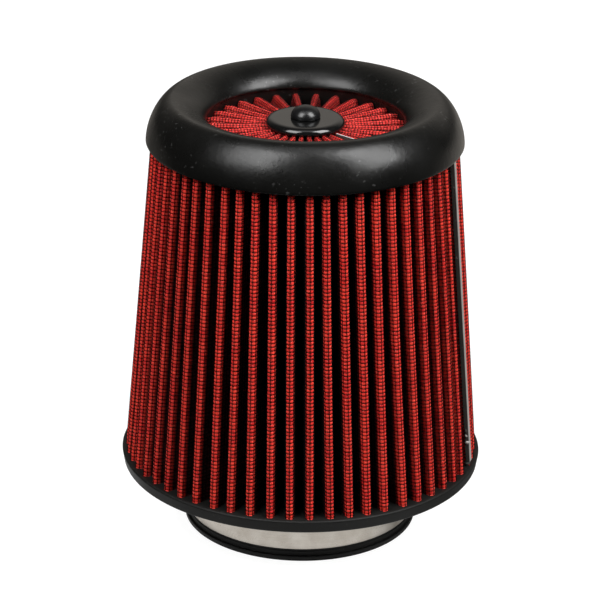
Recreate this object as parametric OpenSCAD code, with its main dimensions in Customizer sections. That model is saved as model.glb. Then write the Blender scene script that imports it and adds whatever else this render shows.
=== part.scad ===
// Clamp-on cone air filter: a pleated cone of red gauze between wire screens, a moulded
// flange with its worm-drive clamp, and a soft top ring that holds a rosette of pleats.
// The origin is at the centre of the flange's lower face, and +Z runs up the axis.

/* [Flange] */
// Bore of the neck, which slips over the intake pipe
flange_bore_d = 101.6; // [80:0.1:112]
// Wall of the neck round the bore
neck_wall = 2; // [1.8:0.1:5]
// Height of the neck from its mouth to the underside of the rim
neck_h = 29.4; // [26:0.2:45]
// Height of the bead round the mouth
bead_h = 4.8; // [3:0.1:6]
// How far the bead stands out from the neck
bead_out = 1.7; // [0.8:0.1:2.4]
// Diameter of the rim that carries the pleats
rim_d = 168; // [160:1:190]
// Height of the rim
rim_h = 6; // [4:0.5:10]
// How much smaller in radius the rim is at its underside
rim_draft = 0.7; // [0.2:0.1:1.5]
// Radius of the rounded inner mouth of the bore
bell_r = 5.5; // [2:0.5:6]

/* [Pleated cone] */
// Number of pleats round the cone
pleat_count = 56; // [44:1:60]
// Height of the pleated wall between rim and ring
cone_h = 150.9; // [80:1:220]
// Width of the rim that shows outside the pleats
rim_ledge = 1.65; // [1:0.05:4]
// Diameter over the pleats under the top ring
cone_top_d = 140; // [134:0.5:146]
// Depth of a pleat from tip to valley
pleat_depth = 17; // [13:0.5:17.5]
// Width of a pleat over its tip
pleat_tip_w = 3.4; // [3:0.1:3.8]
// Thickness of the pleated sheet, both screens included
sheet_t = 1.4; // [1:0.1:1.4]
// Thickness of one wire screen
screen_t = 0.3; // [0.2:0.05:0.35]
// Height of the crown on a pleat's tip
tip_crown = 0.5; // [0.2:0.1:0.8]
// Lean of the pleats round the axis from base to top, in degrees
pleat_lean = -1.6; // [-4:0.1:4]

/* [Seam clip] */
// Thickness of the clip's metal
clip_t = 0.4; // [0.3:0.05:0.6]
// Length of the clip's legs down the sides of its pleat
clip_leg = 2.2; // [1.5:0.1:3]
// How far the clip stands out past the other pleats
clip_proud = 0.4; // [0:0.1:0.4]
// Clearance between the clip and the pleat that it holds
clip_fit = 0.1; // [0.05:0.01:0.15]
// Height of the clip's lower end above the rim
clip_lift = 2.5; // [0.5:0.1:6]
// Angle from the front of the filter round to the clip, in degrees
clip_azimuth = 73.9; // [0:0.1:180]

/* [Top ring] */
// How far the ring's lower edge stands out past the pleats
ring_overhang = 2.3; // [1:0.1:5]
// Width of the ring from its outer edge to the lip
ring_w = 27.4; // [26.8:0.1:30]
// Height of the ring from its lower edge to its crown
ring_h = 20.1; // [16:0.1:26]
// How far inside its outer edge the ring is highest
crown_in = 12.1; // [9:0.1:16]
// Drop from the crown to the lip
lip_drop = 10; // [6:0.1:11]
// Radius of the rounding under the lip
lip_round = 1; // [0.5:0.1:1.5]
// Clearance between the ring's skirt and the pleats round it
skirt_gap = 0.4; // [0.3:0.05:0.5]
// How far the skirt reaches below the rosette
skirt_lip = 1.5; // [1:0.1:3]

/* [Top rosette] */
// Number of radial pleats
rosette_count = 30; // [24:1:34]
// Depth of the radial pleats
rosette_depth = 15; // [10:0.5:17]
// Drop from the lip to the tops of the radial pleats
rosette_drop = 2.4; // [1.5:0.1:4]
// Width of a radial pleat over its tip at the ring
rosette_tip_w = 3.8; // [3.2:0.1:4.2]
// Angle from the back of the filter round to the seam strip, in degrees
strip_azimuth = 132; // [10:1:170]
// Width of the seam strip's slot between its two legs
strip_slot = 0.3; // [0.2:0.05:0.4]
// Clearance between the rosette and the ring round it
rosette_fit = 0.1; // [0.05:0.01:0.3]
// Height of the seam strip
strip_h = 4; // [3:0.5:6]
// How far the seam strip stands above the pleats
strip_proud = 0.3; // [0:0.1:0.6]
// Gap between the seam strip and the hub plate
strip_hub_gap = 2.1; // [1:0.1:4]
// Gap between the seam strip and the ring
strip_ring_gap = 2; // [0.5:0.1:4]
// Side clearance of the seam strip between its two pleats
strip_fit = 0.06; // [0.04:0.01:0.12]

/* [Hub] */
// Diameter of the two hub plates
plate_d = 36; // [32:0.1:40]
// Thickness of the upper plate
plate_h = 3.4; // [2.5:0.1:5]
// Rounding of the upper plate's edge
plate_round = 2.6; // [1:0.1:3]
// Thickness of the lower plate
under_plate_h = 3; // [2:0.5:5]
// Diameter of the core that the pleats end on
core_d = 31; // [29:0.2:32]
// Diameter of the stud through the hub
stud_d = 5; // [4:0.5:6]
// Radial clearance of the stud in its holes
stud_fit = 0.1; // [0.05:0.01:0.2]
// How far the stud stands out under its nut
stud_end = 1.5; // [0.5:0.5:4]
// Width of the nut across its flats
nut_flats = 8; // [7.5:0.5:11]
// Height of the nut
nut_h = 4; // [3:0.5:6]
// Diameter of the domed cap
cap_d = 13.5; // [11:0.1:16]
// Height of the domed cap
cap_h = 5.6; // [5:0.1:9]
// Height of the cap's brim
brim_h = 0.9; // [0.5:0.1:1.5]
// Thickness of the cap over the end of the stud
cap_roof = 2; // [1.5:0.1:3]

/* [Clamp] */
// Width of the band
band_w = 12.7; // [9:0.1:14]
// Thickness of the band
band_t = 0.7; // [0.5:0.05:0.9]
// Angle of doubled band before the middle of the housing
tail_before = 16; // [14:1:30]
// Angle of the tail past the middle of the housing
tail_after = 62; // [30:1:100]
// Spacing of the slots along the tail
slot_pitch = 3; // [2.6:0.1:4]
// Width of a slot
slot_w = 1.3; // [1:0.1:1.6]
// Slant of the slots, in degrees
slot_slant = 8; // [4:1:12]
// Length of the housing along the band
housing_l = 14; // [12:0.5:18]
// Thickness of the housing's metal
housing_t = 0.8; // [0.6:0.1:1.2]
// Clearance round the band inside the housing
band_fit = 0.15; // [0.1:0.05:0.3]
// Diameter of the screw over its thread
worm_d = 7.2; // [6:0.1:8]
// Radial clearance of the screw in the housing
worm_fit = 0.06; // [0.02:0.01:0.1]
// Gap between the screw and the band under it
worm_gap = 0.35; // [0.3:0.05:0.5]
// Width of the screw's head across its flats
head_flats = 7; // [6:0.1:7]
// Height of the screw's head
head_h = 5; // [4:0.5:7]
// Length of the saddle past each end of the housing
saddle_out = 2; // [1:0.5:3]

/* [Hidden] */
$fn = 96;

// Flange
bore_r = flange_bore_d / 2;
neck_r = bore_r + neck_wall;
bead_r = neck_r + bead_out;
rim_r = rim_d / 2;
rim_z = neck_h;
cone_z0 = neck_h + rim_h;
mouth_chamfer = 0.6;
bead_round = 1.2;
rim_round = 0.9;
neck_fillet = 3;

// Pleated cone
cone_z1 = cone_z0 + cone_h;
tip_r0 = rim_r - rim_ledge;
tip_r1 = cone_top_d / 2;
pleat_pitch = 360 / pleat_count;
tip_half = pleat_tip_w / 2;
fold_half = tip_half - sheet_t;
screen_share = screen_t / sheet_t;

// The seam clip takes the place of one tip, to the right of the front
clip_index = round(clip_azimuth / pleat_pitch - 0.5);
clip_drop = clip_t + clip_fit - clip_proud;
// Where a pleat's flank ends, at the base, and how much it widens for each millimetre
flank_end_r = tip_r0 - pleat_depth + sheet_t + tip_crown;
flank_end_half = flank_end_r * pleat_pitch / 2 * PI / 180 - fold_half;
flank_slope = (flank_end_half - tip_half) / (tip_r0 - tip_crown - flank_end_r);
clip_inner_half = tip_half + clip_leg * flank_slope + clip_fit / 2;

// Top ring and rosette
ring_r = tip_r1 + ring_overhang;
crown_r = ring_r - crown_in;
lip_r = ring_r - ring_w;
crown_z = cone_z1 + ring_h;
lip_z = crown_z - lip_drop;
ring_bulge = 1.17;
lip_bulge = 1.26;
ring_edge = 0.6;
wall_r = lip_r + lip_round;
skirt_r = tip_r1 - pleat_depth - skirt_gap;
rosette_z1 = lip_z - rosette_drop;
rosette_z0 = rosette_z1 - rosette_depth;
skirt_z = rosette_z0 - skirt_lip;
core_r = core_d / 2;
core_gap = 0.15;
rosette_r0 = core_r + core_gap;
rosette_r1 = wall_r - rosette_fit;
rosette_pitch = 360 / rosette_count;
// Squeezed together at the hub, the pleats fill most of their pitch there
hub_tip_share = 0.39;
hub_sheet_share = 0.3;
hub_pitch = rosette_r0 * rosette_pitch * PI / 180;
hub_tip_half = hub_tip_share * hub_pitch;
hub_sheet_t = hub_sheet_share * hub_pitch;

// The seam strip stands in one valley of the rosette, to the right of the front
strip_angle = 90 - rosette_pitch * round(strip_azimuth / rosette_pitch);
strip_r0 = plate_d / 2 + strip_hub_gap;
strip_r1 = rosette_r1 - strip_ring_gap;
strip_share = (strip_r0 - rosette_r0) / (rosette_r1 - rosette_r0);
strip_half_pitch = strip_r0 * rosette_pitch / 2 * PI / 180;
strip_top_gap = strip_half_pitch - rosette_tip_half(strip_share);
strip_low_gap = rosette_fold_half(strip_share);
strip_half = strip_top_gap + (strip_low_gap - strip_top_gap) * strip_h / rosette_depth - strip_fit;

// Hub
plate_r = plate_d / 2;
plate_z1 = rosette_z1 + plate_h;
under_plate_z = rosette_z0 - under_plate_h;
under_round = 1;
stud_r = stud_d / 2;
stud_hole_r = stud_r + stud_fit;
nut_z = under_plate_z - nut_h;
stud_z0 = nut_z - stud_end;
stud_z1 = plate_z1 + cap_h - cap_roof - stud_fit;
cap_r = cap_d / 2;

// Clamp, whose housing sits at the back of the neck
band_z0 = bead_h + housing_t + 2 * band_fit;
band_z = band_z0 + band_w / 2;
band_r = neck_r + band_t;
tail_r = band_r + band_t;
housing_w = band_w + 2 * (band_fit + housing_t);
worm_r = worm_d / 2;
worm_y = tail_r + worm_gap + worm_r;
hump_r = worm_r + worm_fit + housing_t;
shoulder_y = tail_r + band_fit + housing_t;
saddle_angle = degrees_of(housing_l / 2 + saddle_out, neck_r);
end_play = 0.2;
collar_h = 1;
collar_r = worm_r + 0.3;
tail_margin = 4;
slot_share = 0.62;
slot_bite = 0.1;
slot_count = floor((tail_before + tail_after - 2 * tail_margin) * PI / 180 * tail_r / slot_pitch);
head_slot_w = 1.2;
head_slot_h = 2;

function mix(a, b, t) = a + (b - a) * t;
function degrees_of(w, r) = w / r * 180 / PI;
function at(r, angle, z) = [r * cos(angle), r * sin(angle), z];
function arc(cx, cy, r, a0, a1, n = 6) =
    [for (i = [0:n]) [cx + r * cos(mix(a0, a1, i / n)), cy + r * sin(mix(a0, a1, i / n))]];

// Half widths of a radial pleat over its tip and inside its fold, at a share t of its length
function rosette_tip_half(t) = mix(hub_tip_half, rosette_tip_w / 2, t);
function rosette_fold_half(t) = mix(hub_tip_half - hub_sheet_t, rosette_tip_w / 2 - sheet_t, t);

// One face of the cone's sheet at a share h of its height: s is 0 outside and 1 inside.
// Each pleat gives three points over its tip and three along its valley.
function cone_face(h, s) = [
    for (i = [0:pleat_count - 1])
        let(
            centre = -90 + (i + 0.5) * pleat_pitch + pleat_lean * h,
            full_r = mix(tip_r0, tip_r1, h),
            tip_r = full_r - s * sheet_t - (i == clip_index ? clip_drop : 0),
            valley_r = full_r - pleat_depth + (1 - s) * sheet_t,
            tip_a = degrees_of(mix(tip_half, fold_half, s), tip_r),
            valley_a = degrees_of(mix(fold_half, tip_half, s), valley_r),
            z = mix(cone_z0, cone_z1, h),
            valley = centre + pleat_pitch / 2
        )
        each [
            at(tip_r - tip_crown, centre - tip_a, z),
            at(tip_r, centre, z),
            at(tip_r - tip_crown, centre + tip_a, z),
            at(valley_r + tip_crown, valley - valley_a, z),
            at(valley_r, valley, z),
            at(valley_r + tip_crown, valley + valley_a, z)
        ]
];

// One face of the rosette's sheet at a share t of its length: s is 0 on top and 1 below.
// Each pleat gives two points over its tip and two along its valley.
function rosette_face(t, s) = [
    for (i = [0:rosette_count - 1])
        let(
            centre = 90 + (i + 0.5) * rosette_pitch,
            r = mix(rosette_r0, rosette_r1, t),
            sheet = mix(hub_sheet_t, sheet_t, t),
            tip_z = rosette_z1 - s * sheet,
            valley_z = rosette_z0 + (1 - s) * sheet,
            tip_a = degrees_of(mix(rosette_tip_half(t), rosette_fold_half(t), s), r),
            valley_a = degrees_of(mix(rosette_fold_half(t), rosette_tip_half(t), s), r),
            valley = centre + rosette_pitch / 2
        )
        each [
            at(r, centre - tip_a, tip_z),
            at(r, centre + tip_a, tip_z),
            at(r, valley - valley_a, valley_z),
            at(r, valley + valley_a, valley_z)
        ]
];

// Two triangles for each step round a belt between two closed loops of n points.
// A step's diagonal starts on the low loop where its entry in the repeated list rising is
// true, and on the high loop where it is false.
function belt(n, low, high, rising = [true]) = [
    for (i = [0:n - 1])
        let(j = (i + 1) % n)
        each (rising[i % len(rising)]
            ? [[low + i, high + i, high + j], [low + i, high + j, low + j]]
            : [[low + i, high + i, low + j], [high + i, high + j, low + j]])
];

// A closed sheet between four loops: outer low, outer high, inner high and inner low.
// Its two faces are split alike, so that sheets laid on each other meet exactly, and the
// two flanks of a pleat mirror each other.
module pleated_sheet(outer_low, outer_high, inner_high, inner_low, rising) {
    n = len(outer_low);
    polyhedron(
        points = concat(outer_low, outer_high, inner_high, inner_low),
        faces = concat(
            belt(n, 0, n, rising),
            belt(n, n, 2 * n),
            belt(n, 2 * n, 3 * n, [for (up = rising) !up]),
            belt(n, 3 * n, 0)
        )
    );
}

module cone_sheet(s0, s1) {
    pleated_sheet(cone_face(0, s0), cone_face(1, s0), cone_face(1, s1), cone_face(0, s1),
        [true, true, false, true, true, true]);
}

module rosette_sheet(s0, s1) {
    pleated_sheet(rosette_face(0, s1), rosette_face(1, s1), rosette_face(1, s0), rosette_face(0, s0),
        [true, false, true, true]);
}

module base_flange() {
    color("#232323")
    rotate_extrude($fn = 160)
    polygon(concat(
        [[bore_r + mouth_chamfer, 0], [bead_r - bead_round, 0]],
        arc(bead_r - bead_round, bead_round, bead_round, -90, 0),
        arc(bead_r - bead_round, bead_h - bead_round, bead_round, 0, 90),
        [[neck_r, bead_h]],
        arc(neck_r + neck_fillet, rim_z - neck_fillet, neck_fillet, 180, 90),
        arc(rim_r - rim_draft - rim_round, rim_z + rim_round, rim_round, -90, 0),
        arc(rim_r - rim_round, cone_z0 - rim_round, rim_round, 0, 90),
        arc(bore_r + bell_r, cone_z0 - bell_r, bell_r, 90, 180),
        [[bore_r, mouth_chamfer]]
    ));
}

module outer_screen() {
    color("#1a1a1a") cone_sheet(0, screen_share);
}

module gauze_media() {
    color("#c8201c") cone_sheet(screen_share, 1 - screen_share);
}

module inner_screen() {
    color("#1a1a1a") cone_sheet(1 - screen_share, 1);
}

// A channel folded over one pleat, with its web outside and a leg down each side
function clip_section(h) =
    let(
        z = h == 0 ? cone_z0 + clip_lift : cone_z1,
        share = (z - cone_z0) / cone_h,
        angle = -90 + (clip_index + 0.5) * pleat_pitch + pleat_lean * share,
        face_r = mix(tip_r0, tip_r1, share) + clip_proud,
        out = clip_inner_half + clip_t,
        depth = clip_t + clip_leg
    )
    [
        for (p = [[0, out], [-depth, out], [-depth, clip_inner_half], [-clip_t, clip_inner_half],
            [-clip_t, -clip_inner_half], [-depth, -clip_inner_half], [-depth, -out], [0, -out]])
            at(face_r + p[0], angle, z) + [-p[1] * sin(angle), p[1] * cos(angle), 0]
    ];

module seam_clip() {
    corner_count = 8;
    leg_a = [0, 1, 2, 3];
    web = [0, 3, 4, 7];
    leg_b = [4, 5, 6, 7];
    ends = [leg_a, web, leg_b];
    color("#c9cbcc")
    polyhedron(
        points = concat(clip_section(0), clip_section(1)),
        faces = concat(
            belt(corner_count, 0, corner_count),
            [for (end = ends) end],
            [for (end = ends) [for (k = [3:-1:0]) end[k] + corner_count]]
        )
    );
}

module top_ring() {
    step_count = 12;
    color("#2b2b2a")
    rotate_extrude($fn = 160)
    polygon(concat(
        [[ring_r - ring_edge, cone_z1], [ring_r, cone_z1 + ring_edge]],
        [for (i = [1:step_count]) let(a = 90 * i / step_count)
            [crown_r + (ring_r - crown_r) * pow(cos(a), ring_bulge),
            cone_z1 + ring_edge + (ring_h - ring_edge) * pow(sin(a), ring_bulge)]],
        [for (i = [1:step_count - 1]) let(a = 90 * i / step_count)
            [crown_r - (crown_r - lip_r) * pow(sin(a), lip_bulge),
            lip_z + lip_drop * pow(cos(a), lip_bulge)]],
        arc(lip_r + lip_round, lip_z, lip_round, 180, 270, 4),
        [[wall_r, skirt_z], [skirt_r, skirt_z], [skirt_r, cone_z1]]
    ));
}

module rosette_outer_screen() {
    color("#1a1a1a") rosette_sheet(0, screen_share);
}

module rosette_gauze() {
    color("#c8201c") rosette_sheet(screen_share, 1 - screen_share);
}

module rosette_inner_screen() {
    color("#1a1a1a") rosette_sheet(1 - screen_share, 1);
}

// A folded strip over the seam of the rosette
module rosette_seam_strip() {
    length = strip_r1 - strip_r0;
    color("#c9cbcc")
    rotate([0, 0, strip_angle])
    translate([strip_r0, 0, rosette_z1 + strip_proud - strip_h])
    difference() {
        translate([0, -strip_half, 0]) cube([length, 2 * strip_half, strip_h]);
        translate([-1, -strip_slot / 2, -1]) cube([length + 2, strip_slot, strip_h + 1 - clip_t]);
    }
}

module hub_plate() {
    color("#161616")
    rotate_extrude()
    polygon(concat(
        [[stud_hole_r, rosette_z0], [core_r, rosette_z0], [core_r, rosette_z1]],
        arc(plate_r - plate_h + plate_round, plate_z1 - plate_round, plate_h - plate_round, -90, 0, 3),
        arc(plate_r - plate_round, plate_z1 - plate_round, plate_round, 0, 90, 8),
        [[stud_hole_r, plate_z1]]
    ));
}

module hub_under_plate() {
    color("#161616")
    rotate_extrude()
    polygon(concat(
        [[stud_hole_r, under_plate_z]],
        arc(plate_r - under_round, under_plate_z + under_round, under_round, -90, 0),
        [[plate_r, rosette_z0], [stud_hole_r, rosette_z0]]
    ));
}

module hub_stud() {
    color("#9a9a9a")
    translate([0, 0, stud_z0]) cylinder(r = stud_r, h = stud_z1 - stud_z0);
}

module hub_nut() {
    color("#9a9a9a")
    translate([0, 0, nut_z])
    difference() {
        cylinder(d = nut_flats / cos(30), h = nut_h, $fn = 6);
        translate([0, 0, -1]) cylinder(r = stud_hole_r, h = nut_h + 2);
    }
}

module dome_cap() {
    foot_r = cap_r - brim_h / 2;
    dome_h = cap_h - brim_h;
    color("#101010")
    rotate_extrude()
    polygon(concat(
        [[stud_hole_r, plate_z1], [foot_r, plate_z1]],
        [for (i = [0:12]) let(a = 90 * i / 12)
            [cap_r * cos(a), plate_z1 + brim_h + dome_h * sin(a)]],
        [[0, stud_z1 + stud_fit], [stud_hole_r, stud_z1 + stud_fit]]
    ));
}

// A stretch of strip bent round the neck, between two radii and two angles
module strip_turn(inner_r, outer_r, from, to, width) {
    rotate([0, 0, from])
    rotate_extrude(angle = to - from)
    translate([inner_r, band_z - width / 2]) square([outer_r - inner_r, width]);
}

// The band goes once round the neck. Its slotted tail lies over the first turn, and runs
// through the housing above the saddle.
module clamp_band() {
    step = slot_pitch / tail_r * 180 / PI;
    color("#c4c4c2")
    difference() {
        union() {
            strip_turn(neck_r, band_r, 90 + saddle_angle, 450 - saddle_angle, band_w);
            strip_turn(band_r, tail_r, 90 - tail_before, 90 + tail_after, band_w);
        }
        for (i = [0:slot_count - 1])
            rotate([0, 0, 90 - tail_before + tail_margin + (i + 0.5) * step])
            translate([tail_r, 0, band_z])
            rotate([slot_slant, 0, 0])
            cube([2 * (band_t + slot_bite), slot_w, slot_share * band_w], center = true);
    }
}

module clamp_saddle() {
    color("#c4c4c2")
    strip_turn(neck_r, band_r, 90 - saddle_angle, 90 + saddle_angle, housing_w);
}

// A folded hood over the band, with a hump that carries the screw
module clamp_housing() {
    color("#c4c4c2")
    difference() {
        translate([-housing_l / 2, 0, band_z])
        rotate([90, 0, 90])
        linear_extrude(housing_l) {
            translate([0, -housing_w / 2]) square([shoulder_y, housing_w]);
            translate([0, -hump_r]) square([worm_y, 2 * hump_r]);
            translate([worm_y, 0]) circle(r = hump_r);
        }
        translate([0, 0, band_z - housing_w]) cylinder(r = band_r, h = 2 * housing_w);
        translate([0, 0, band_z0 - band_fit]) cylinder(r = tail_r + band_fit, h = band_w + 2 * band_fit);
        translate([-housing_l, worm_y, band_z])
        rotate([0, 90, 0])
        cylinder(r = worm_r + worm_fit, h = 2 * housing_l);
    }
}

module clamp_screw() {
    near = housing_l / 2 + end_play;
    color("#b0b0ae")
    translate([0, worm_y, band_z])
    rotate([0, 90, 0])
    difference() {
        union() {
            translate([0, 0, -near]) cylinder(r = worm_r, h = 2 * near);
            translate([0, 0, near]) cylinder(r = collar_r, h = collar_h);
            translate([0, 0, near + collar_h]) cylinder(d = head_flats / cos(30), h = head_h, $fn = 6);
            translate([0, 0, -near - collar_h]) cylinder(r = collar_r, h = collar_h);
        }
        translate([0, 0, near + collar_h + head_h])
        cube([head_slot_w, 2 * head_flats, 2 * head_slot_h], center = true);
    }
}

base_flange();
outer_screen();
gauze_media();
inner_screen();
seam_clip();
top_ring();
rosette_outer_screen();
rosette_gauze();
rosette_inner_screen();
rosette_seam_strip();
hub_plate();
hub_under_plate();
hub_stud();
hub_nut();
dome_cap();
clamp_band();
clamp_saddle();
clamp_housing();
clamp_screw();
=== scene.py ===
"""Looks of a clamp-on cone air filter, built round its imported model.

Sizes are in millimetres until a mesh is made, and angles are in degrees unless a comment
says that they are in radians.
"""

import math

import bmesh
import bpy
import numpy as np
from mathutils import Euler, Matrix, Vector


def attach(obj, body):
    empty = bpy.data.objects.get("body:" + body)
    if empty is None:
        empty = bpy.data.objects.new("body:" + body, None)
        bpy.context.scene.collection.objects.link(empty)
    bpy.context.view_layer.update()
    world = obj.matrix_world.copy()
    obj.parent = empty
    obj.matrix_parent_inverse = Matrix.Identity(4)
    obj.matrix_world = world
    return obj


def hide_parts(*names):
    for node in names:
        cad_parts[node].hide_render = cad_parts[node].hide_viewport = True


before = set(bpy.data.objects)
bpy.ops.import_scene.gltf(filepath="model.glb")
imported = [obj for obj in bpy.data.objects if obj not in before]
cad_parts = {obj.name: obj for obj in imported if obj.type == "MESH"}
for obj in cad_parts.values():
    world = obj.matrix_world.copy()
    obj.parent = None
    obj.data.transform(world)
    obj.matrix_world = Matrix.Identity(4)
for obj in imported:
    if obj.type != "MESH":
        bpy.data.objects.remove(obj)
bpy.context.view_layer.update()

MM = 0.001

# Flange
BORE_R = 50.8
NECK_R = 52.8
BEAD_R = 54.5
BEAD_H = 4.8
LIP_H = 2.7
RIM_R = 84.0
RIM_Z = 29.4
CONE_Z0 = 35.4
MOUTH_ROUND = 5.5

# Pleated cone, its cloth between the screens, and the clip on its seam
PLEATS = 56
CONE_Z1 = 186.3
CONE_H = CONE_Z1 - CONE_Z0
TIP_R0 = 82.35
TIP_R1 = 70.0
PLEAT_DEPTH = 17.0
PLEAT_LEAN = -1.6
TIP_HALF = 1.9
TIP_CROWN = 0.92
FOLD_HALF = 0.3
FOLD_CROWN = 0.62
SHEET = 1.4
CLOTH_INSET = 0.26
CLOTH_BACK = 0.32
CLIP_PLEAT = 11
CLIP_TIP_HALF = 1.15
CLIP_THICK = 0.35
CLIP_LEG = 1.6
CLIP_HALF = 1.6
CLIP_ROUND = 0.3
CLIP_REACH = 0.4
CLIP_FOOT = 2.5

# Top ring
RING_R = 72.3
CROWN_R = 60.2
CROWN_Z = 206.4
CROWN_POWER = 1.17
SLOPE_POWER = 1.26
LIP_R = 44.9
LIP_Z = 196.4
WALL_R = 45.9
SKIRT_R = 52.6
SKIRT_Z = 177.5

# Rosette, the strip on its seam, and the hub
ROSETTE_PLEATS = 30
ROSETTE_R0 = 15.65
ROSETTE_R1 = 45.8
ROSETTE_Z1 = 194.0
ROSETTE_Z0 = 179.0
HUB_TIP_HALF = 1.278
HUB_SHEET = 0.983
RING_TIP_HALF = 1.9
ROSETTE_CROWN = 0.8
RING_TUCK = 3.0
STRIP_ANGLE = -42.0
STRIP_R0 = 18.9
STRIP_R1 = 43.8
STRIP_H = 4.0
STRIP_HALF = 0.22
STRIP_SLOT_HALF = 0.07
STRIP_EDGE = 0.15
STRIP_TOP = 0.4
PLATE_R = 18.0
PLATE_Z1 = 197.4
BEVEL_W = 3.4
BEVEL_H = 2.6
PLATE_CORNER = 0.8
CORE_R = 15.5
STUD_R = 2.6
STUD_Z1 = 201.0
LOWER_PLATE_H = 3.0
CAP_R = 6.75
CAP_Z1 = 203.0
CAP_BASE = 0.55

# Clamp: where the band starts, climbs over itself and ends is in degrees round the neck
BAND_Z = 12.25
BAND_W = 12.7
BAND_T = 0.7
BAND_FIRST = 99.9
BAND_CLIMB = 433.0
BAND_LAST = 512.0
SADDLE_HALF = 9.6
TAIL_R = 54.2
WORM_Y = 58.15
HOUSING_L = 14.0
HOUSING_W = 14.6
HOUSING_T = 0.8
HOUSING_HUMP = 3.66
SLOTS = 22
SLOT_START = 78.0
SLOT_PITCH = 3.0
SLOT_SLANT = 8.0
SLOT_HALF = 0.65
SLOT_REACH = 3.9
WORM_R = 2.8
THREAD_H = 0.78
THREAD_PITCH = 3.0
HEAD_FLAT = 3.5

# Wire mesh: the cells over half a pleat, the height of a row, and how far the wires lie in
HALF_CELLS = 8
ROW_H = 1.70
ROSETTE_HALF_CELLS = 12
ROSETTE_ROW = 1.42
WIRE_START = 0.6
CELL_SWELL = 0.22
UPRIGHT_R = 0.13
ROW_R = 0.14
ROSETTE_WIRE_R = 0.105
WIRE_INSET = 0.06
WIRE_BACK = 0.17

# The photograph's viewpoint: metres, millimetres of lens on a 36 mm frame, and radians
CAMERA_PLACE = (0, -1.2794, 0.63827)
CAMERA_LENS = 179.34
CAMERA_PITCH = 0.393
CAMERA_YAW = -0.001
CAMERA_ROLL = 0.015

BOX_FACES = ((0, 1, 2, 3), (7, 6, 5, 4), (0, 4, 5, 1), (1, 5, 6, 2), (2, 6, 7, 3), (3, 7, 4, 0))

chance = np.random.default_rng(17)


# Meshes

def link_object(name, data):
    """An object in the scene, with its mesh, light or camera."""
    linked = bpy.data.objects.new(name, data)
    bpy.context.scene.collection.objects.link(linked)
    return linked


def new_piece(name, points, faces, finish, slot, body="filter", stands_for=(), uv=None, sharp=40):
    """A mesh in place on its body. faces is a list of index tables, one row a face, and uv
    a list of tables alike, with a pair for each corner."""
    mesh = bpy.data.meshes.new(name)
    faces = [np.asarray(f, np.int32) for f in faces if len(f)]
    corners = np.concatenate([f.ravel() for f in faces])
    sizes = np.concatenate([np.full(len(f), f.shape[1], np.int32) for f in faces])
    mesh.vertices.add(len(points))
    mesh.vertices.foreach_set("co", (np.asarray(points, float) * MM).ravel().astype(np.float32))
    mesh.loops.add(len(corners))
    mesh.loops.foreach_set("vertex_index", corners)
    mesh.polygons.add(len(sizes))
    starts = np.concatenate([[0], np.cumsum(sizes)[:-1]]).astype(np.int32)
    mesh.polygons.foreach_set("loop_start", starts)
    mesh.update(calc_edges=True)
    if uv is not None:
        layer = mesh.uv_layers.new(name="UVMap")
        pairs = np.concatenate([np.asarray(t, np.float32).reshape(-1) for t in uv])
        layer.data.foreach_set("uv", pairs)
    mesh.shade_smooth()
    if sharp:
        mesh.set_sharp_from_angle(angle=math.radians(sharp))
    piece = link_object(name, mesh)
    for material in finish if isinstance(finish, (list, tuple)) else [finish]:
        mesh.materials.append(material)
    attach(piece, body)
    if stands_for:
        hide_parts(*stands_for)
    return piece


def apply_modifiers(piece, sharp=40):
    """Turns a piece's modifiers into mesh."""
    bpy.context.view_layer.update()
    shaped = piece.evaluated_get(bpy.context.evaluated_depsgraph_get())
    mesh = bpy.data.meshes.new_from_object(shaped)
    piece.modifiers.clear()
    piece.data = mesh
    mesh.shade_smooth()
    mesh.set_sharp_from_angle(angle=math.radians(sharp))


def round_edges(piece, width, sharp):
    """Rounds a piece's hard edges by a width in millimetres."""
    bevel = piece.modifiers.new("rounding", "BEVEL")
    bevel.width = width * MM
    bevel.segments = 2
    bevel.limit_method = "ANGLE"
    bevel.angle_limit = math.radians(sharp)
    apply_modifiers(piece, sharp)


def simple_object(name, points, faces):
    """An object from plain lists of points in metres and of faces."""
    mesh = bpy.data.meshes.new(name)
    mesh.from_pydata(points, [], faces)
    mesh.update()
    return link_object(name, mesh)


def cut_boxes(piece, boxes):
    """Cuts boxes out of a piece. Each is given by the corners of one face, then the opposite one's."""
    corners = [tuple(MM * np.array(corner)) for box in boxes for corner in box]
    faces = [tuple(8 * k + c for c in face) for k in range(len(boxes)) for face in BOX_FACES]
    cutter = simple_object("cutter", corners, faces)
    cut = piece.modifiers.new("cut", "BOOLEAN")
    cut.operation = "DIFFERENCE"
    cut.solver = "EXACT"
    cut.object = cutter
    apply_modifiers(piece)
    bpy.data.meshes.remove(cutter.data)


def grid_faces(rows, columns, start=0, flip=False):
    """Faces of a grid of points that closes on itself round each row, with the row of each
    corner and its column before wrapping."""
    row, column = np.meshgrid(np.arange(rows - 1), np.arange(columns), indexing="ij")
    row, column = row.ravel(), column.ravel()
    corner_rows = np.stack([row, row, row + 1, row + 1], 1)
    corner_columns = np.stack([column, column + 1, column + 1, column], 1)
    if flip:
        corner_rows, corner_columns = corner_rows[:, ::-1], corner_columns[:, ::-1]
    return start + corner_rows * columns + corner_columns % columns, corner_rows, corner_columns


def arc(x, y, radius, first, last, steps):
    """Points on a circle round (x, y), from a first angle to a last one."""
    angles = np.radians(np.linspace(first, last, steps + 1))
    return [(x + radius * math.cos(a), y + radius * math.sin(a)) for a in angles]


def held_flats(outline, gap=0.35):
    """An outline with a point close to each end of its long straights, for flat shading."""
    held = []
    for here, there in zip(outline, outline[1:] + outline[:1]):
        here, there = np.array(here), np.array(there)
        held.append(tuple(here))
        length = np.linalg.norm(there - here)
        if length > 4 * gap:
            held.append(tuple(here + (there - here) * gap / length))
            held.append(tuple(there + (here - there) * gap / length))
    return held


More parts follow.
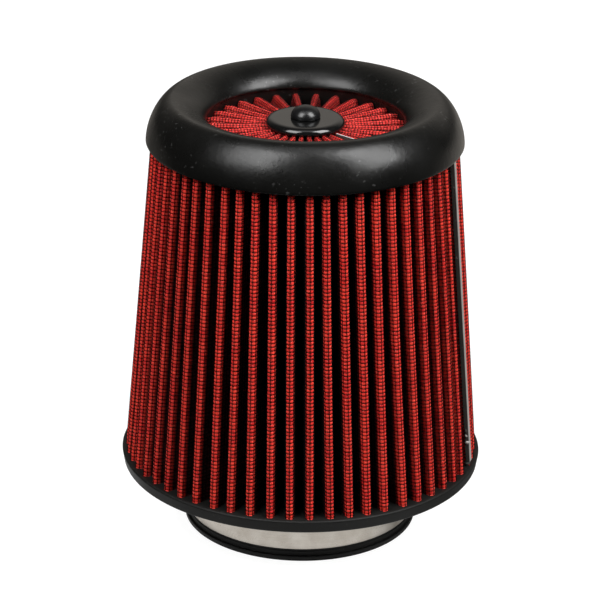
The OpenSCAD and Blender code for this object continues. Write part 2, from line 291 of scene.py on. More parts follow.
def turned_piece(name, outline, finish, steps, **rest):
    """A closed outline of (radius, height) turned round the axis. A radius of 0 makes a pole."""
    outline = np.array(held_flats(outline))
    angles = np.arange(steps) * 2 * math.pi / steps
    radius, height = outline[:, :1], outline[:, 1:] + 0 * angles
    points = np.stack([radius * np.cos(angles), radius * np.sin(angles), height], -1)
    faces = grid_faces(len(outline) + 1, steps)[0] % (len(outline) * steps)
    piece = new_piece(name, points.reshape(-1, 3), [faces], finish, **rest)
    weld(piece)


def weld(piece):
    """Joins points that lie together, and drops the faces that this closes up."""
    work = bmesh.new()
    work.from_mesh(piece.data)
    bmesh.ops.remove_doubles(work, verts=work.verts, dist=1e-6)
    bmesh.ops.recalc_face_normals(work, faces=work.faces)
    work.to_mesh(piece.data)
    work.free()


def lofted_piece(name, sections, finish, **rest):
    """A solid through closed sections: sections is a table (stations, points, 3)."""
    stations, count = sections.shape[:2]
    first = np.arange(count)[None]
    faces = [grid_faces(stations, count)[0], first[:, ::-1], (stations - 1) * count + first]
    piece = new_piece(name, sections.reshape(-1, 3), faces, finish, **rest)
    weld(piece)
    return piece


def place_round(radius, sideways, height, angle):
    """Points at a radius and a sideways step from the direction of an angle."""
    turn = np.radians(angle)
    x = radius * np.cos(turn) - sideways * np.sin(turn)
    y = radius * np.sin(turn) + sideways * np.cos(turn)
    return np.stack(np.broadcast_arrays(x, y, height), -1)


def two_sided(piece, direction, limit):
    """Gives a piece's second finish to the faces that don't look in a direction."""
    for face in piece.data.polygons:
        face.material_index = 0 if direction(face) > limit else 1


# Finishes

def new_finish(name, color, roughness, **sockets):
    """A material with its shader, and the constants set on the shader's own sockets."""
    material = bpy.data.materials.new(name)
    material.use_nodes = True
    shader = material.node_tree.nodes["Principled BSDF"]
    shader.inputs["Base Color"].default_value = (*color, 1)
    shader.inputs["Roughness"].default_value = roughness
    for socket, value in sockets.items():
        shader.inputs[socket.replace("_", " ")].default_value = value
    return material, material.node_tree, shader


def add_node(tree, kind, inputs=None, **settings):
    """A node with its settings; inputs maps a socket's name or number to a value or a socket."""
    node = tree.nodes.new("ShaderNode" + kind)
    for key, value in settings.items():
        setattr(node, key, value)
    for key, value in (inputs or {}).items():
        if isinstance(value, bpy.types.NodeSocket):
            tree.links.new(value, node.inputs[key])
        else:
            node.inputs[key].default_value = value
    return node


def maths(tree, operation, a, b=0.0, c=0.0):
    """One step of arithmetic on values or sockets."""
    return add_node(tree, "Math", {0: a, 1: b, 2: c}, operation=operation).outputs[0]


def blend(tree, share, low, high):
    """A colour between two colours."""
    low, high = [end if isinstance(end, bpy.types.NodeSocket) else (*end, 1) for end in (low, high)]
    return add_node(tree, "Mix", {0: share, 6: low, 7: high}, data_type="RGBA").outputs[2]


def noise(tree, scale, detail, where=None):
    """Noise in the object's own frame, or another one; scale is in lumps a metre."""
    if where is None:
        where = add_node(tree, "TexCoord").outputs["Object"]
    return add_node(tree, "TexNoise", {"Vector": where, "Scale": scale, "Detail": detail}).outputs["Fac"]


def ramp(tree, value, low, high, to_low=0.0, to_high=1.0):
    """A value that runs from one level to another while the given one runs from low to high."""
    return add_node(tree, "MapRange", {0: value, 1: low, 2: high, 3: to_low, 4: to_high}).outputs[0]


def bump(tree, shader, height, distance):
    """Relief from a height, by a distance in millimetres."""
    node = add_node(tree, "Bump", {"Strength": 1.0, "Distance": distance * MM, "Height": height})
    tree.links.new(node.outputs[0], shader.inputs["Normal"])


def new_group(name, inputs, outputs):
    """A shader node group with named inputs (and their defaults) and outputs."""
    tree = bpy.data.node_groups.new(name, "ShaderNodeTree")
    for label, value in inputs.items():
        socket = tree.interface.new_socket(label, in_out="INPUT", socket_type="NodeSocketFloat")
        socket.default_value = value
    for label in outputs:
        tree.interface.new_socket(label, in_out="OUTPUT", socket_type="NodeSocketFloat")
    return tree, tree.nodes.new("NodeGroupInput").outputs, tree.nodes.new("NodeGroupOutput").inputs


def moulded_surface_group():
    """Moulded rubber or plastic: grain and dimples, swings in gloss, and pale rubbed specks."""
    tree, given, result = new_group(
        "moulded_surface",
        {"Grain Scale": 2500.0, "Smooth": 0.4, "Rough": 0.5, "Specks": 0.3, "Dimples": 0.0},
        ("Height", "Roughness", "Specks"),
    )
    grain = noise(tree, given["Grain Scale"], 3.0)
    swing = noise(tree, 45.0, 8.0)
    speck = ramp(tree, noise(tree, 620.0, 1.0), 0.68, 0.74)
    patch = ramp(tree, noise(tree, 60.0, 2.0), 0.45, 0.65)
    dimples = noise(tree, 330.0, 2.0)
    rubbed = maths(tree, "MULTIPLY", maths(tree, "MULTIPLY", speck, patch), given["Specks"])
    tree.links.new(maths(tree, "MULTIPLY_ADD", dimples, given["Dimples"], grain), result["Height"])
    tree.links.new(ramp(tree, swing, 0.3, 0.7, given["Smooth"], given["Rough"]), result["Roughness"])
    tree.links.new(rubbed, result["Specks"])
    return tree


def brushed_lines_group():
    """Fine lines that run round the axis, as a strip has from its rolling and brushing."""
    tree, given, result = new_group(
        "brushed_lines",
        {"Low": 0.2, "High": 0.4, "Across": 1800.0},
        ("Height", "Roughness", "Tone"),
    )
    axes = add_node(tree, "SeparateXYZ", {0: add_node(tree, "TexCoord").outputs["Object"]}).outputs
    turn = maths(tree, "ARCTAN2", axes[1], axes[0])
    across = maths(tree, "MULTIPLY", axes[2], given["Across"])
    where = add_node(tree, "CombineXYZ", {0: maths(tree, "MULTIPLY", turn, 2.2), 1: across}).outputs[0]
    drawn = {"Vector": where, "Scale": 1.0, "Detail": 4.0, "Roughness": 0.7}
    lines = add_node(tree, "TexNoise", drawn).outputs["Fac"]
    stains = noise(tree, 120.0, 4.0)
    tree.links.new(lines, result["Height"])
    tree.links.new(ramp(tree, lines, 0.3, 0.7, given["Low"], given["High"]), result["Roughness"])
    tree.links.new(ramp(tree, stains, 0.35, 0.7), result["Tone"])
    return tree


def place_group(tree, group, values):
    """Places a group in a material with the material's own values."""
    node = tree.nodes.new("ShaderNodeGroup")
    node.node_tree = group
    for label, value in values.items():
        node.inputs[label].default_value = value
    return node.outputs


def moulded_finish(name, color, smooth, rough, grain, depth, specks, specular, dimples=0.0):
    """Black rubber or plastic as it comes out of its mould, with a few rubbed specks."""
    material, tree, shader = new_finish(name, color, rough, Specular_IOR_Level=specular)
    surface = place_group(tree, moulded_surface, {
        "Grain Scale": grain, "Smooth": smooth, "Rough": rough, "Specks": specks, "Dimples": dimples})
    pale = tuple(3.5 * c + 0.05 for c in color)
    tree.links.new(blend(tree, surface["Specks"], color, pale), shader.inputs["Base Color"])
    tree.links.new(surface["Roughness"], shader.inputs["Roughness"])
    bump(tree, shader, surface["Height"], depth)
    return material


def brushed_finish(name, color, stain, low, high, metallic=1.0):
    """Bright metal with fine lines, and a darker stain in patches."""
    material, tree, shader = new_finish(name, color, high, Metallic=metallic)
    surface = place_group(tree, brushed_lines, {"Low": low, "High": high})
    tree.links.new(blend(tree, surface["Tone"], stain, color), shader.inputs["Base Color"])
    tree.links.new(surface["Roughness"], shader.inputs["Roughness"])
    bump(tree, shader, surface["Height"], 0.004)
    return material


def puffed_cells_group():
    """Cloth that swells out of the cells of a wire mesh. The UV map counts cells. Its mask of painted shade
    grows from 0 at a pleat's tip to 1 down in its fold, and on one side it does so a given number of cells
    later, as painted light on that flank."""
    tree, given, result = new_group(
        "puffed_cells",
        {"Half Cells": 8.0, "Lit Cells": 1.0, "Dark Cells": 2.0, "Lean": 0.0},
        ("Height", "Puff", "Lumps", "Depth", "Tone", "Glints"),
    )
    cell = add_node(tree, "TexCoord").outputs["UV"]
    u, v = add_node(tree, "SeparateXYZ", {0: cell}).outputs[:2]

    def wave(along, turns):
        return maths(tree, "SINE", maths(tree, "MULTIPLY", along, math.pi * turns))

    def swell(along, power):
        return maths(tree, "POWER", maths(tree, "ABSOLUTE", wave(along, 1)), power)

    pillow = maths(tree, "MULTIPLY", swell(u, 0.6), swell(v, 0.7))
    weave = maths(tree, "MULTIPLY", wave(u, 18), wave(v, 12))
    lumps = noise(tree, 1.7, 2.0, where=cell)
    uneven = maths(tree, "MULTIPLY_ADD", lumps, 0.4, pillow)
    whole_cell = add_node(tree, "VectorMath", {0: cell}, operation="FLOOR").outputs[0]
    tone = add_node(tree, "TexWhiteNoise", {"Vector": whole_cell}).outputs["Value"]

    # Cells counted from the pleat's tip. On one side of the fold they count fewer, so the painted shade
    # starts deeper there, as painted light on that flank.
    in_pleat = maths(tree, "MULTIPLY", given["Half Cells"], 2.0)
    pleat = maths(tree, "DIVIDE", u, in_pleat)
    from_tip = maths(tree, "MULTIPLY", maths(tree, "PINGPONG", pleat, 0.5), in_pleat)
    far_side = ramp(tree, maths(tree, "FRACT", pleat), 0.50, 0.52)
    later = maths(tree, "MULTIPLY", far_side, given["Lean"])
    from_tip = maths(tree, "SUBTRACT", from_tip, later)

    tree.links.new(maths(tree, "MULTIPLY_ADD", weave, 0.08, uneven), result["Height"])
    tree.links.new(maths(tree, "MULTIPLY_ADD", weave, 0.05, pillow), result["Puff"])
    tree.links.new(lumps, result["Lumps"])
    tree.links.new(tone, result["Tone"])
    # Painted glints: where the small noise runs high.
    tree.links.new(ramp(tree, noise(tree, 6.0, 1.0, where=cell), 0.66, 0.74), result["Glints"])
    # The mask of painted shade in the folds: none before the lit cell count, full after the dark cell
    # count.
    tree.links.new(ramp(tree, from_tip, given["Lit Cells"], given["Dark Cells"]), result["Depth"])
    return tree


moulded_surface = moulded_surface_group()
brushed_lines = brushed_lines_group()
puffed_cells = puffed_cells_group()


def gauze_finish(name, fold_shade_color, deep, pale, glints, cells):
    """Oiled red cotton, with painted shade at the cell edges by the wires and down in the folds, and
    painted glints on its threads.
    """
    material, tree, shader = new_finish(name, pale, 0.5, Specular_IOR_Level=0.22)
    cloth = place_group(tree, puffed_cells, cells)
    fade = ramp(tree, noise(tree, 55.0, 3.0), 0.35, 0.65)
    tone = maths(tree, "MULTIPLY_ADD", cloth["Tone"], 0.6, maths(tree, "MULTIPLY", fade, 0.4))
    middle = blend(tree, tone, deep, pale)
    # Painted glints: small pale pink spots on the threads.
    glinting = blend(tree, maths(tree, "MULTIPLY", cloth["Glints"], glints), middle, (1.0, 0.42, 0.34))
    # Painted shade: near black at the edges of each cell, where the wires lie.
    edge_shaded = blend(tree, ramp(tree, cloth["Puff"], 0.12, 0.55), (0.08, 0.002, 0.002), glinting)
    # Painted shade down in the folds, taken from the fold colour.
    tree.links.new(blend(tree, cloth["Depth"], edge_shaded, fold_shade_color), shader.inputs["Base Color"])
    tree.links.new(ramp(tree, cloth["Lumps"], 0.3, 0.7, 0.42, 0.60), shader.inputs["Roughness"])
    bump(tree, shader, cloth["Height"], 0.28)
    return material


flange_rubber = moulded_finish(
    "flange_rubber", (0.0065, 0.0065, 0.0060), 0.50, 0.62,
    grain=2200.0, depth=0.03, specks=0.25, specular=0.18)
ring_rubber = moulded_finish(
    "ring_rubber", (0.0035, 0.0035, 0.0032), 0.22, 0.37,
    grain=1500.0, depth=0.03, specks=0.7, specular=0.33, dimples=2.6)
hub_plastic = moulded_finish(
    "hub_plastic", (0.0040, 0.0040, 0.0040), 0.10, 0.17,
    grain=1200.0, depth=0.004, specks=0.1, specular=0.50)
cap_plastic = moulded_finish(
    "cap_plastic", (0.0045, 0.0045, 0.0048), 0.24, 0.32,
    grain=1200.0, depth=0.006, specks=0.1, specular=0.45)
screen_coat = moulded_finish(
    "screen_coat", (0.0050, 0.0040, 0.0040), 0.50, 0.65,
    grain=3000.0, depth=0.01, specks=0.0, specular=0.08)
dark_speckled = moulded_finish(
    "dark_speckled", (0.048, 0.045, 0.041), 0.45, 0.62,
    grain=1400.0, depth=0.05, specks=1.0, specular=0.3)
pale_mastic = moulded_finish(
    "pale_mastic", (0.42, 0.40, 0.38), 0.45, 0.62,
    grain=1400.0, depth=0.05, specks=0.3, specular=0.3)
# The first colour of each cloth is painted shade for down in its folds, and the cell counts say where that
# painted shade starts and where it is full. The number after the pale colour is the strength of the painted
# glints.
cone_cloth = gauze_finish(
    "cone_cloth", (0.034, 0.004, 0.004), (0.64, 0.014, 0.015), (0.96, 0.058, 0.032), 0.9,
    {"Half Cells": HALF_CELLS, "Lit Cells": 1.15, "Dark Cells": 1.9, "Lean": 0.45})
rosette_cloth = gauze_finish(
    "rosette_cloth", (0.030, 0.001, 0.001), (0.34, 0.010, 0.010), (0.78, 0.044, 0.034), 1.0,
    {"Half Cells": ROSETTE_HALF_CELLS, "Lit Cells": 3.1, "Dark Cells": 6.0, "Lean": 0.0})
clamp_steel = brushed_finish("clamp_steel", (0.43, 0.40, 0.36), (0.34, 0.31, 0.27), 0.24, 0.36)
clip_alloy = brushed_finish("clip_alloy", (0.86, 0.84, 0.84), (0.66, 0.64, 0.64), 0.30, 0.44)
strip_alloy = brushed_finish(
    "strip_alloy", (0.66, 0.66, 0.66), (0.50, 0.50, 0.50), 0.30, 0.44, metallic=0.3)
plated_steel = brushed_finish("plated_steel", (0.52, 0.51, 0.47), (0.42, 0.41, 0.37), 0.22, 0.35)


# Pleats

def pleat_loops(tip_at, fold_at, tip_steps, flank_steps, fold_steps):
    """Loops round all the pleats, each from the middle of its tip to the middle of the next,
    and the place of a fold's middle in them. tip_at and fold_at give tables
    (levels, pleats, 3) for an angle from -90 to 90."""
    def next_tip(angle):
        return np.roll(tip_at(angle), -1, axis=1)

    shares = np.linspace(0, 1, flank_steps + 1)[1:-1, None, None, None]
    down = tip_at(90)[None] * (1 - shares) + fold_at(-90)[None] * shares
    up = fold_at(90)[None] * (1 - shares) + next_tip(-90)[None] * shares
    parts = [tip_at(a) for a in np.linspace(0, 90, tip_steps + 1)]
    parts += list(down)
    parts += [fold_at(a) for a in np.linspace(-90, 90, 2 * fold_steps + 1)]
    parts += list(up)
    parts += [next_tip(a) for a in np.linspace(-90, 0, tip_steps + 1)[:-1]]
    return np.stack(parts, axis=2), tip_steps + flank_steps + fold_steps


# The pleats of the cone stand a little unevenly, as folded by hand
pleat_slip = chance.normal(0, 0.22, PLEATS)
pleat_twist = chance.normal(0, 0.16, PLEATS)
pleat_bow = chance.normal(0, 0.10, PLEATS)
pleat_reach = chance.normal(0, 0.12, PLEATS)


def cone_reach(share):
    """The radius of the cone's tips at a share of its height."""
    return TIP_R0 + (TIP_R1 - TIP_R0) * share


def cone_turn(number, share):
    """The direction in degrees of a cone pleat at a share of its height, before its own slips."""
    return -90 + (number + 0.5) * 360 / PLEATS + PLEAT_LEAN * share


def cone_loops(shares, offset, tip_steps, flank_steps, fold_steps, swell=0.0):
    """Loops of the cone's sheet at shares of its height, at an offset in from its outer face.
    swell is how far each level bulges out of the cells."""
    share = np.asarray(shares, float)[:, None]
    swell = np.zeros_like(share) + np.reshape(swell, (-1, 1))
    number = np.arange(PLEATS)
    z = CONE_Z0 + CONE_H * share
    middle = (cone_turn(number, share) + pleat_slip
              + pleat_twist * (2 * share - 1) + pleat_bow * np.sin(math.pi * share))
    reach = cone_reach(share) + pleat_reach * np.sin(math.pi * share)
    following = np.roll(middle, -1, axis=1)
    following[:, -1] += 360
    valley = (middle + following) / 2
    half = np.where(number == CLIP_PLEAT, CLIP_TIP_HALF, TIP_HALF)

    def tip_at(angle):
        a = math.radians(angle)
        puff = swell * (0.3 + 0.7 * abs(math.sin(2 * a)))
        width = half - offset + puff
        radius = reach - offset + puff - TIP_CROWN * width * (1 - math.cos(a))
        return place_round(radius, width * math.sin(a), z, middle)

    def fold_at(angle):
        a = math.radians(angle)
        width = FOLD_HALF + offset
        floor = cone_reach(share) - PLEAT_DEPTH + SHEET - offset
        radius = floor + FOLD_CROWN * width * (1 - math.cos(a))
        return place_round(radius, width * math.sin(a), z, valley)

    return pleat_loops(tip_at, fold_at, tip_steps, flank_steps, fold_steps)


def rosette_loops(shares, offset, tip_steps, flank_steps, fold_steps):
    """Loops of the rosette's sheet at shares of its length. The offset is a share of its
    thickness, and the pleats tuck in and down where they meet the ring."""
    share = np.asarray(shares, float)[:, None]
    middle = 90 + (np.arange(ROSETTE_PLEATS) + 0.5) * 360 / ROSETTE_PLEATS + 0 * share
    radius = ROSETTE_R0 + (ROSETTE_R1 - ROSETTE_R0) * share
    sheet = HUB_SHEET + (SHEET - HUB_SHEET) * share
    near_ring = np.clip((radius - ROSETTE_R1 + RING_TUCK) / RING_TUCK, 0, 1)
    half = (HUB_TIP_HALF + (RING_TIP_HALF - HUB_TIP_HALF) * share) * (1 - 0.14 * near_ring ** 2)
    tip_z = ROSETTE_Z1 - 0.5 * near_ring ** 2
    inward = offset * sheet

    def place(sideways, height, angle):
        turn = np.radians(angle) + sideways / radius
        return np.stack([radius * np.cos(turn), radius * np.sin(turn), height + 0 * turn], -1)

    def tip_at(angle):
        a = math.radians(angle)
        width = half - inward
        height = tip_z - inward - ROSETTE_CROWN * width * (1 - math.cos(a))
        return place(width * math.sin(a), height, middle)

    def fold_at(angle):
        a = math.radians(angle)
        width = half - sheet + inward
        height = ROSETTE_Z0 + sheet - inward + FOLD_CROWN * width * (1 - math.cos(a))
        return place(width * math.sin(a), height, middle + 180 / ROSETTE_PLEATS)

    return pleat_loops(tip_at, fold_at, tip_steps, flank_steps, fold_steps)


def cell_count(loops, middle, half_cells):
    """How many cells of mesh lie before each point of a loop, counted along the sheet."""
    levels, pleats, count = loops.shape[:3]
    path = np.concatenate([loops, np.roll(loops, -1, axis=1)[:, :, :1]], axis=2)
    steps = np.linalg.norm(np.diff(path, axis=2), axis=-1)
    run = np.concatenate([np.zeros((levels, pleats, 1)), np.cumsum(steps, axis=2)], axis=2)
    half = run[:, :, middle:middle + 1]
    whole = run[:, :, -1:]
    cells = np.where(run <= half, run / half, 1 + (run - half) / (whole - half)) * half_cells
    cells = cells[:, :, :-1] + 2 * half_cells * np.arange(pleats)[None, :, None]
    cells = cells.reshape(levels, pleats * count)
    return np.concatenate([cells, np.full((levels, 1), 2.0 * half_cells * pleats)], axis=1)


def pleated_piece(name, outer, inner, middle, half_cells, rows_at, finish, flip=False, **rest):
    """A closed pleated sheet between two faces, with a UV map that counts the mesh's cells.
    rows_at gives the number of rows below each point of a face."""
    points, faces, uv = [], [], []
    start = 0
    for face, reverse in ((outer, flip), (inner, not flip)):
        levels = face.shape[0]
        grid = face.reshape(levels, -1, 3)
        index, row, column = grid_faces(levels, grid.shape[1], start=start, flip=reverse)
        across = cell_count(face, middle, half_cells)
        up = rows_at(grid)
        up = np.concatenate([up, up[:, :1]], axis=1)
        faces.append(index)
        uv.append(np.stack([across[row, column], up[row, column]], -1))
        points.append(grid.reshape(-1, 3))
        start += levels * grid.shape[1]
    columns = outer.shape[1] * outer.shape[2]
    here = np.arange(columns)
    after = (here + 1) % columns
    other = outer.shape[0] * columns
    low = np.stack([other + here, other + after, after, here], 1)
    top = (outer.shape[0] - 1) * columns
    inner_top = other + (inner.shape[0] - 1) * columns
    high = np.stack([top + here, top + after, inner_top + after, inner_top + here], 1)
    for edge in (low, high):
        faces.append(edge[:, ::-1] if flip else edge)
        uv.append(np.zeros((columns, 4, 2)))
    return new_piece(name, np.concatenate(points), faces, finish, uv=uv, sharp=70, **rest)


def wire_points(paths, outward, radius, closed):
    """Three-sided wires along paths (wires, points, 3), with their faces. Closed ones are loops."""
    if closed:
        along = np.roll(paths, -1, axis=1) - np.roll(paths, 1, axis=1)
    else:
        along = np.gradient(paths, axis=1)
    side = np.cross(along, outward)
    side /= np.linalg.norm(side, axis=-1, keepdims=True)
    rims = [paths + radius * outward,
            paths + radius * (-0.5 * outward + 0.866 * side),
            paths + radius * (-0.5 * outward - 0.866 * side)]
    points = np.stack(rims, axis=2)
    wires, count = paths.shape[:2]
    spans = np.arange(count if closed else count - 1)
    table = np.meshgrid(np.arange(wires), spans, np.arange(3), indexing="ij")
    wire, here, corner = [column.ravel() for column in table]
    after, turn = (here + 1) % count, (corner + 1) % 3

    def index(i, c):
        return (wire * count + i) * 3 + c

    corners = ((here, corner), (here, turn), (after, turn), (after, corner))
    faces = [np.stack([index(i, c) for i, c in corners], 1)]
    if not closed:
        first = np.arange(wires) * count * 3
        last = first + (count - 1) * 3
        faces.append(np.stack([first, first + 2, first + 1], 1))
        faces.append(np.stack([last, last + 1, last + 2], 1))
    return points.reshape(-1, 3), faces


def outward_of(grid, sign):
    """The direction straight out of a face that is given as a table (levels, round, 3)."""
    around = np.roll(grid, -1, axis=1) - np.roll(grid, 1, axis=1)
    out = np.cross(around, np.gradient(grid, axis=0)) * sign
    return out / np.linalg.norm(out, axis=-1, keepdims=True)


def crossing_points(loops, middle, half_cells):
    """Points at the mesh's uprights, on each level: a table (levels, uprights, 3)."""
    levels, pleats = loops.shape[:2]
    cells = cell_count(loops, middle, half_cells)
    grid = loops.reshape(levels, -1, 3)
    grid = np.concatenate([grid, grid[:, :1]], axis=1)
    wanted = np.arange(2 * half_cells * pleats)
    return np.stack([
        np.stack([np.interp(wanted, cells[k], grid[k, :, axis]) for axis in range(3)], -1)
        for k in range(levels)])


def add_rows(name, paths, outward, radius, **rest):
    """Wires of the mesh that run all the way round."""
    points, faces = wire_points(paths, outward, radius, True)
    new_piece(name, points, faces, screen_coat, slot="screen_wire", sharp=0, **rest)


def add_uprights(name, loops, middle, half_cells, sign, radius):
    """Wires of the mesh that run along the pleats, a cell apart."""
    crossings = crossing_points(loops, middle, half_cells)
    outward = outward_of(crossings, sign)
    points, faces = wire_points(crossings.transpose(1, 0, 2), outward.transpose(1, 0, 2), radius, False)
    new_piece(name, points, faces, screen_coat, slot="screen_wire", sharp=0)


def lowering(grid, share):
    """How far the mesh, which is square to the folds, sinks at each point's depth in a pleat."""
    depth = cone_reach(share) - np.hypot(grid[..., 0], grid[..., 1])
    return depth * (TIP_R0 - TIP_R1) / CONE_H


def cone_rows_at(grid):
    """The number of rows below each point of the cone's sheet."""
    height = grid[..., 2] - CONE_Z0
    return (height + lowering(grid, height / CONE_H) - WIRE_START) / ROW_H


def rosette_rows_at(grid):
    """The number of rows inside each point of the rosette's sheet."""
    return (np.hypot(grid[..., 0], grid[..., 1]) - ROSETTE_R0) / ROSETTE_ROW


def build_cone_cloth(rows):
    """The cone's red gauze, in two pieces, swelling out between the rows of the mesh."""
    third = ROW_H / 3 / CONE_H
    levels = np.concatenate([[0], np.stack([rows, rows + third, rows + 2 * third], 1).ravel(), [1]])
    swell = np.concatenate([[0], np.tile([0, CELL_SWELL, CELL_SWELL], len(rows)), [0]])
    split = 1 + 3 * (len(rows) // 2)
    for part, chosen in (("low", slice(0, split + 1)), ("high", slice(split, None))):
        inner_levels = np.linspace(levels[chosen][0], levels[chosen][-1], 9)
        outer, middle = cone_loops(levels[chosen], CLOTH_INSET, 2, 1, 1, swell[chosen])
        inner, _ = cone_loops(inner_levels, SHEET - CLOTH_BACK, 2, 1, 1)
        pleated_piece(f"cone_gauze_{part}", outer, inner, middle, HALF_CELLS, cone_rows_at, cone_cloth,
                      slot="red_gauze", stands_for=("gauze_media",) if part == "low" else ())


def build_cone_screen(side, rows, offset, sign, steps):
    """One wire screen of the cone: its rows in two pieces, and its uprights."""
    loops, _ = cone_loops(rows, offset, *steps)
    grid = loops.reshape(len(rows), -1, 3)
    paths = grid.copy()
    paths[..., 2] -= lowering(grid, rows[:, None])
    paths[..., 2] = np.maximum(paths[..., 2], CONE_Z0 + 2 * ROW_R)
    outward = outward_of(grid, sign)
    half = len(rows) // 2
    for part, chosen in (("low", slice(0, half)), ("high", slice(half, None))):
        add_rows(f"{side}_screen_rows_{part}", paths[chosen], outward[chosen], ROW_R,
                 stands_for=(f"{side}_screen",) if part == "low" else ())
    loops, middle = cone_loops(np.linspace(0, 1, 7), offset + 0.06, 6, 4, 3)
    add_uprights(f"{side}_screen_uprights", loops, middle, HALF_CELLS, sign, UPRIGHT_R)


def build_cone():
    """The pleated cone: its cloth, and the wire screens outside and inside of it."""
    count = int(CONE_H / ROW_H)
    rows = (np.arange(1, count) * ROW_H + WIRE_START) / CONE_H
    build_cone_cloth(rows)
    build_cone_screen("outer", rows, WIRE_INSET, 1, (3, 1, 1))
    build_cone_screen("inner", rows[::2], SHEET - WIRE_BACK, -1, (1, 1, 1))


def build_rosette():
    """The rosette's red gauze, and the wire screens over and under it."""
    levels = np.linspace(0, 1, 9)
    outer, middle = rosette_loops(levels, 0.2, 4, 4, 2)
    inner, _ = rosette_loops(levels, 0.8, 4, 4, 2)
    pleated_piece("rosette_gauze_sheet", outer, inner, middle, ROSETTE_HALF_CELLS, rosette_rows_at,
                  rosette_cloth, flip=True, slot="red_gauze", stands_for=("rosette_gauze",))
    length = ROSETTE_R1 - ROSETTE_R0
    rows = np.arange(1, int(length / ROSETTE_ROW) + 1) * ROSETTE_ROW / length
    for side, offset, sign, node, steps in (
            ("top", 0.1, -1, "rosette_outer_screen", (3, 1, 1)),
            ("under", 0.9, 1, "rosette_inner_screen", (1, 1, 2))):
        loops, _ = rosette_loops(rows, offset, *steps)
        grid = loops.reshape(len(rows), -1, 3)
        add_rows(f"rosette_{side}_rows", grid, outward_of(grid, sign), ROSETTE_WIRE_R, stands_for=(node,))
        loops, middle = rosette_loops(np.linspace(0, 1, 5), offset - 0.04 * sign, 6, 4, 3)
        add_uprights(f"rosette_{side}_spokes", loops, middle, ROSETTE_HALF_CELLS, sign, ROSETTE_WIRE_R)


# Mouldings

def build_flange():
    """The flange in one turned moulding: mouth, bead with its lip and step, neck and rim."""
    outline = [(BORE_R + 0.6, 0), (BEAD_R - 1.2, 0)]
    outline += arc(BEAD_R - 1.2, 1.2, 1.2, -90, 0, 6)
    outline += arc(BEAD_R - 0.4, LIP_H - 0.4, 0.4, 0, 90, 5)
    outline += arc(NECK_R + 0.7, LIP_H + 0.3, 0.3, 270, 180, 4)
    outline += arc(NECK_R + 0.1, BEAD_H - 0.3, 0.3, 0, 90, 4)
    outline += arc(NECK_R + 3, RIM_Z - 3, 3, 180, 90, 8)
    outline += arc(RIM_R - 0.7 - 0.9, RIM_Z + 0.9, 0.9, -90, 0, 6)
    outline += arc(RIM_R - 0.9, CONE_Z0 - 0.9, 0.9, 0, 90, 6)
    outline += arc(BORE_R + MOUTH_ROUND, CONE_Z0 - MOUTH_ROUND, MOUTH_ROUND, 90, 180, 12)
    outline += [(BORE_R, 0.6)]
    turned_piece("flange_moulding", outline, flange_rubber, 256, slot="flange_rubber",
                 stands_for=("base_flange",))


def ring_outline(steps=24):
    """The ring's outline: a fat outer crown, a steeper slope inwards, and the skirt below it."""
    edge = 0.6
    base = CONE_Z1 + edge
    quarter = np.radians(np.linspace(0, 90, steps + 1))
    outline = [(RING_R - edge, CONE_Z1), (RING_R - 0.25, CONE_Z1 + 0.12)]
    for a in quarter:
        out = max(math.cos(a), 0) ** CROWN_POWER
        up = math.sin(a) ** CROWN_POWER
        outline.append((CROWN_R + (RING_R - CROWN_R) * out, base + (CROWN_Z - base) * up))
    for a in quarter[1:-1]:
        outline.append((CROWN_R - (CROWN_R - LIP_R) * math.sin(a) ** SLOPE_POWER,
                        LIP_Z + (CROWN_Z - LIP_Z) * math.cos(a) ** SLOPE_POWER))
    outline += arc(LIP_R + 1, LIP_Z, 1, 180, 270, 6)
    outline += [(WALL_R, SKIRT_Z), (SKIRT_R, SKIRT_Z), (SKIRT_R, CONE_Z1)]
    return outline


def build_ring():
    """The fat, soft ring on top."""
    turned_piece("top_ring_moulding", ring_outline(), ring_rubber, 256, slot="ring_rubber",
                 stands_for=("top_ring",))


def build_hub():
    """Two plates on a stud with its nut, and the domed cap over the stud's end."""
    flat_r, bevel_z = PLATE_R - BEVEL_W, PLATE_Z1 - BEVEL_H
    bevel = [(PLATE_R - BEVEL_W * (1 - math.cos(a) ** 0.9), PLATE_Z1 - BEVEL_H * (1 - math.sin(a)))
             for a in np.radians(np.linspace(5, 85, 15))]
    outline = [(STUD_R, ROSETTE_Z0), (CORE_R, ROSETTE_Z0), (CORE_R, ROSETTE_Z1)]
    outline += arc(PLATE_R - PLATE_CORNER, bevel_z, PLATE_CORNER, -90, 0, 6)
    outline += bevel + [(flat_r, PLATE_Z1), (STUD_R, PLATE_Z1)]
    turned_piece("hub_plate_moulding", outline, hub_plastic, 128, slot="hub_plastic",
                 stands_for=("hub_plate",))

    low_z = ROSETTE_Z0 - LOWER_PLATE_H
    outline = [(STUD_R, low_z), (PLATE_R - 1, low_z)]
    outline += arc(PLATE_R - 1, low_z + 1, 1, -90, 0, 6)[1:]
    outline += [(PLATE_R, ROSETTE_Z0), (STUD_R, ROSETTE_Z0)]
    turned_piece("hub_lower_plate", outline, hub_plastic, 128, slot="hub_plastic",
                 stands_for=("hub_under_plate",))

    dome_z = PLATE_Z1 + CAP_BASE
    outline = [(0, STUD_Z1), (STUD_R, STUD_Z1), (STUD_R, PLATE_Z1)]
    outline += [(5.8, PLATE_Z1), (6.2, PLATE_Z1 + 0.08), (6.6, PLATE_Z1 + 0.28)]
    outline += [(CAP_R * math.cos(a), dome_z + (CAP_Z1 - dome_z) * math.sin(a))
                for a in np.radians(np.linspace(0, 90, 21))[:-1]]
    outline += [(0, CAP_Z1)]
    turned_piece("hub_cap_dome", outline, cap_plastic, 96, slot="hub_plastic", stands_for=("dome_cap",))

    for node in ("hub_stud", "hub_nut"):
        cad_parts[node].data.materials.clear()
        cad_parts[node].data.materials.append(plated_steel)


# Seam clip and rosette strip

